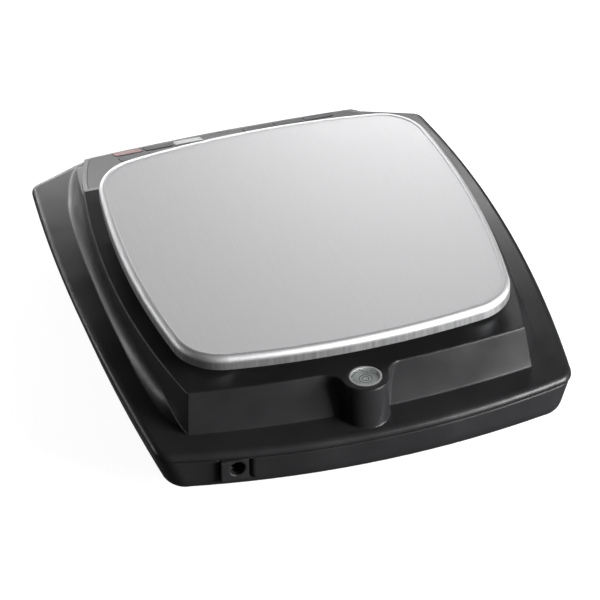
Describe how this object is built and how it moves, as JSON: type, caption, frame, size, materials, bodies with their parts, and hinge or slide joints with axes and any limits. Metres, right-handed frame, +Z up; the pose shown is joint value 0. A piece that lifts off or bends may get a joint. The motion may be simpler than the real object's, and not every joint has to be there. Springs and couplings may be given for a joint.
{
  "type": "counting scale",
  "caption": "Low bench scale for counting parts: a square steel pan on a load cell over a dark two-part case with a sloped display and key panel, a bubble level and a DC inlet.",
  "frame": {"origin": "on the table under the middle of the case, at the underside of the feet", "axes": "+Z up; the display and key panel faces -Y, where the person using it stands; the bubble level and the DC inlet face +Y; +X is to that person's right"},
  "size_m": [0.2568, 0.3114, 0.0758],
  "materials": {
    "case_plastic": "fine textured dark charcoal plastic, slightly glossy",
    "panel_plastic": "smooth dark charcoal plastic",
    "overlay_film": "satin light grey printed film",
    "window_clear": "clear polished",
    "lcd_glass": "grey-green display glass in a dark frame",
    "key_grey": "matte silicone rubber",
    "key_red": "matte silicone rubber",
    "key_white": "matte silicone rubber",
    "pan_steel": "satin stainless steel with a fine grain",
    "cast_aluminium": "sand cast, dull",
    "machined_aluminium": "machined, satin",
    "zinc_steel": "bright zinc plate",
    "cushion_rubber": "matte black rubber",
    "foot_rubber": "matte black rubber",
    "insert_brass": "machined brass",
    "board_green": "solder-mask green with a slight gloss",
    "battery_case": "dark grey moulded case",
    "strap_steel": "plain sheet steel",
    "jack_plastic": "glossy black moulding",
    "vial_body": "pale translucent moulding with rings",
    "cable_sheath": "grey flexible sheath"
  },
  "bodies": {
    "case": {"battery": "battery_case", "battery_cover": "case_plastic", "battery_cover_screws": "zinc_steel", "battery_strap": "strap_steel", "bottom_cell_bolts": "zinc_steel", "bottom_spacer": "machined_aluminium", "case_screws": "zinc_steel", "cell_cable": "cable_sheath", "console_bezel": "panel_plastic", "console_overlay": "overlay_film", "dc_jack": "jack_plastic", "display_board": "board_green", "display_board_screws": "zinc_steel", "display_window": "window_clear", "foot_inserts": "insert_brass", "jack_plate": "case_plastic", "lcd_count": "lcd_glass", "lcd_unit_weight": "lcd_glass", "lcd_weight": "lcd_glass", "level_glass": "window_clear", "level_vial": "vial_body", "load_cell": "machined_aluminium", "lower_case": "case_plastic", "main_board": "board_green", "main_board_screws": "zinc_steel", "overload_stops": "zinc_steel", "upper_case": "case_plastic"},
    "platform": {"pan_cross": "cast_aluminium", "pan_cushions": "cushion_rubber", "cross_bolts": "zinc_steel", "carrier_beam": "machined_aluminium", "top_cell_bolts": "zinc_steel"},
    "pan": {"pan": "pan_steel"},
    "key_01": {"key_01": "key_grey"},
    "key_02": {"key_02": "key_grey"},
    "key_03": {"key_03": "key_grey"},
    "key_04": {"key_04": "key_grey"},
    "key_05": {"key_05": "key_grey"},
    "key_06": {"key_06": "key_grey"},
    "key_07": {"key_07": "key_grey"},
    "key_08": {"key_08": "key_grey"},
    "key_09": {"key_09": "key_grey"},
    "key_10": {"key_10": "key_grey"},
    "key_11": {"key_11": "key_grey"},
    "key_12": {"key_12": "key_grey"},
    "key_13": {"key_13": "key_grey"},
    "key_14": {"key_14": "key_grey"},
    "key_15": {"key_15": "key_grey"},
    "key_16": {"key_16": "key_white"},
    "key_17": {"key_17": "key_grey"},
    "key_18": {"key_18": "key_red"},
    "foot_pad_front_left": {"foot_pad_front_left": "foot_rubber"},
    "foot_pad_front_right": {"foot_pad_front_right": "foot_rubber"},
    "foot_pad_rear_left": {"foot_pad_rear_left": "foot_rubber"},
    "foot_pad_rear_right": {"foot_pad_rear_right": "foot_rubber"},
    "foot_screw_front_left": {"foot_screw_front_left": "zinc_steel"},
    "foot_screw_front_right": {"foot_screw_front_right": "zinc_steel"},
    "foot_screw_rear_left": {"foot_screw_rear_left": "zinc_steel"},
    "foot_screw_rear_right": {"foot_screw_rear_right": "zinc_steel"}
  },
  "joints": [
    {"name": "platform_flex", "type": "slide", "parent": "case", "child": "platform", "axis": [0, 0, 1], "range_m": [-0.0005, 0], "stiffness_N_per_m": 300000, "deforming": ["load_cell"]},
    {"name": "pan_lift", "type": "slide", "parent": "platform", "child": "pan", "axis": [0, 0, 1], "range_m": [0, 0.04]},
    {"name": "key_01_press", "type": "slide", "parent": "case", "child": "key_01", "axis": [0, -0.3827, 0.9239], "range_m": [-0.0008, 0], "stiffness_N_per_m": 400},
    {"name": "key_02_press", "type": "slide", "parent": "case", "child": "key_02", "axis": [0, -0.3827, 0.9239], "range_m": [-0.0008, 0], "stiffness_N_per_m": 400},
    {"name": "key_03_press", "type": "slide", "parent": "case", "child": "key_03", "axis": [0, -0.3827, 0.9239], "range_m": [-0.0008, 0], "stiffness_N_per_m": 400},
    {"name": "key_04_press", "type": "slide", "parent": "case", "child": "key_04", "axis": [0, -0.3827, 0.9239], "range_m": [-0.0008, 0], "stiffness_N_per_m": 400},
    {"name": "key_05_press", "type": "slide", "parent": "case", "child": "key_05", "axis": [0, -0.3827, 0.9239], "range_m": [-0.0008, 0], "stiffness_N_per_m": 400},
    {"name": "key_06_press", "type": "slide", "parent": "case", "child": "key_06", "axis": [0, -0.3827, 0.9239], "range_m": [-0.0008, 0], "stiffness_N_per_m": 400},
    {"name": "key_07_press", "type": "slide", "parent": "case", "child": "key_07", "axis": [0, -0.3827, 0.9239], "range_m": [-0.0008, 0], "stiffness_N_per_m": 400},
    {"name": "key_08_press", "type": "slide", "parent": "case", "child": "key_08", "axis": [0, -0.3827, 0.9239], "range_m": [-0.0008, 0], "stiffness_N_per_m": 400},
    {"name": "key_09_press", "type": "slide", "parent": "case", "child": "key_09", "axis": [0, -0.3827, 0.9239], "range_m": [-0.0008, 0], "stiffness_N_per_m": 400},
    {"name": "key_10_press", "type": "slide", "parent": "case", "child": "key_10", "axis": [0, -0.3827, 0.9239], "range_m": [-0.0008, 0], "stiffness_N_per_m": 400},
    {"name": "key_11_press", "type": "slide", "parent": "case", "child": "key_11", "axis": [0, -0.3827, 0.9239], "range_m": [-0.0008, 0], "stiffness_N_per_m": 400},
    {"name": "key_12_press", "type": "slide", "parent": "case", "child": "key_12", "axis": [0, -0.3827, 0.9239], "range_m": [-0.0008, 0], "stiffness_N_per_m": 400},
    {"name": "key_13_press", "type": "slide", "parent": "case", "child": "key_13", "axis": [0, -0.3827, 0.9239], "range_m": [-0.0008, 0], "stiffness_N_per_m": 400},
    {"name": "key_14_press", "type": "slide", "parent": "case", "child": "key_14", "axis": [0, -0.3827, 0.9239], "range_m": [-0.0008, 0], "stiffness_N_per_m": 400},
    {"name": "key_15_press", "type": "slide", "parent": "case", "child": "key_15", "axis": [0, -0.3827, 0.9239], "range_m": [-0.0008, 0], "stiffness_N_per_m": 400},
    {"name": "key_16_press", "type": "slide", "parent": "case", "child": "key_16", "axis": [0, -0.3827, 0.9239], "range_m": [-0.0008, 0], "stiffness_N_per_m": 400},
    {"name": "key_17_press", "type": "slide", "parent": "case", "child": "key_17", "axis": [0, -0.3827, 0.9239], "range_m": [-0.0008, 0], "stiffness_N_per_m": 400},
    {"name": "key_18_press", "type": "slide", "parent": "case", "child": "key_18", "axis": [0, -0.3827, 0.9239], "range_m": [-0.0008, 0], "stiffness_N_per_m": 400},
    {"name": "foot_height_front_left", "type": "slide", "parent": "case", "child": "foot_pad_front_left", "axis": [0, 0, 1], "range_m": [-0.005, 0]},
    {"name": "foot_turn_front_left", "type": "hinge", "parent": "foot_pad_front_left", "child": "foot_screw_front_left", "pos_m": [-0.096, -0.112, 0.01], "axis": [0, 0, 1], "range_deg": [-1800, 0]},
    {"name": "foot_height_front_right", "type": "slide", "parent": "case", "child": "foot_pad_front_right", "axis": [0, 0, 1], "range_m": [-0.005, 0]},
    {"name": "foot_turn_front_right", "type": "hinge", "parent": "foot_pad_front_right", "child": "foot_screw_front_right", "pos_m": [0.096, -0.112, 0.01], "axis": [0, 0, 1], "range_deg": [-1800, 0]},
    {"name": "foot_height_rear_left", "type": "slide", "parent": "case", "child": "foot_pad_rear_left", "axis": [0, 0, 1], "range_m": [-0.005, 0]},
    {"name": "foot_turn_rear_left", "type": "hinge", "parent": "foot_pad_rear_left", "child": "foot_screw_rear_left", "pos_m": [-0.096, 0.118, 0.01], "axis": [0, 0, 1], "range_deg": [-1800, 0]},
    {"name": "foot_height_rear_right", "type": "slide", "parent": "case", "child": "foot_pad_rear_right", "axis": [0, 0, 1], "range_m": [-0.005, 0]},
    {"name": "foot_turn_rear_right", "type": "hinge", "parent": "foot_pad_rear_right", "child": "foot_screw_rear_right", "pos_m": [0.096, 0.118, 0.01], "axis": [0, 0, 1], "range_deg": [-1800, 0]}
  ],
  "couplings": [
    {"joint": "foot_turn_front_left", "follows": "foot_height_front_left", "rad_per_m": 6280},
    {"joint": "foot_turn_front_right", "follows": "foot_height_front_right", "rad_per_m": 6280},
    {"joint": "foot_turn_rear_left", "follows": "foot_height_rear_left", "rad_per_m": 6280},
    {"joint": "foot_turn_rear_right", "follows": "foot_height_rear_right", "rad_per_m": 6280}
  ]
}
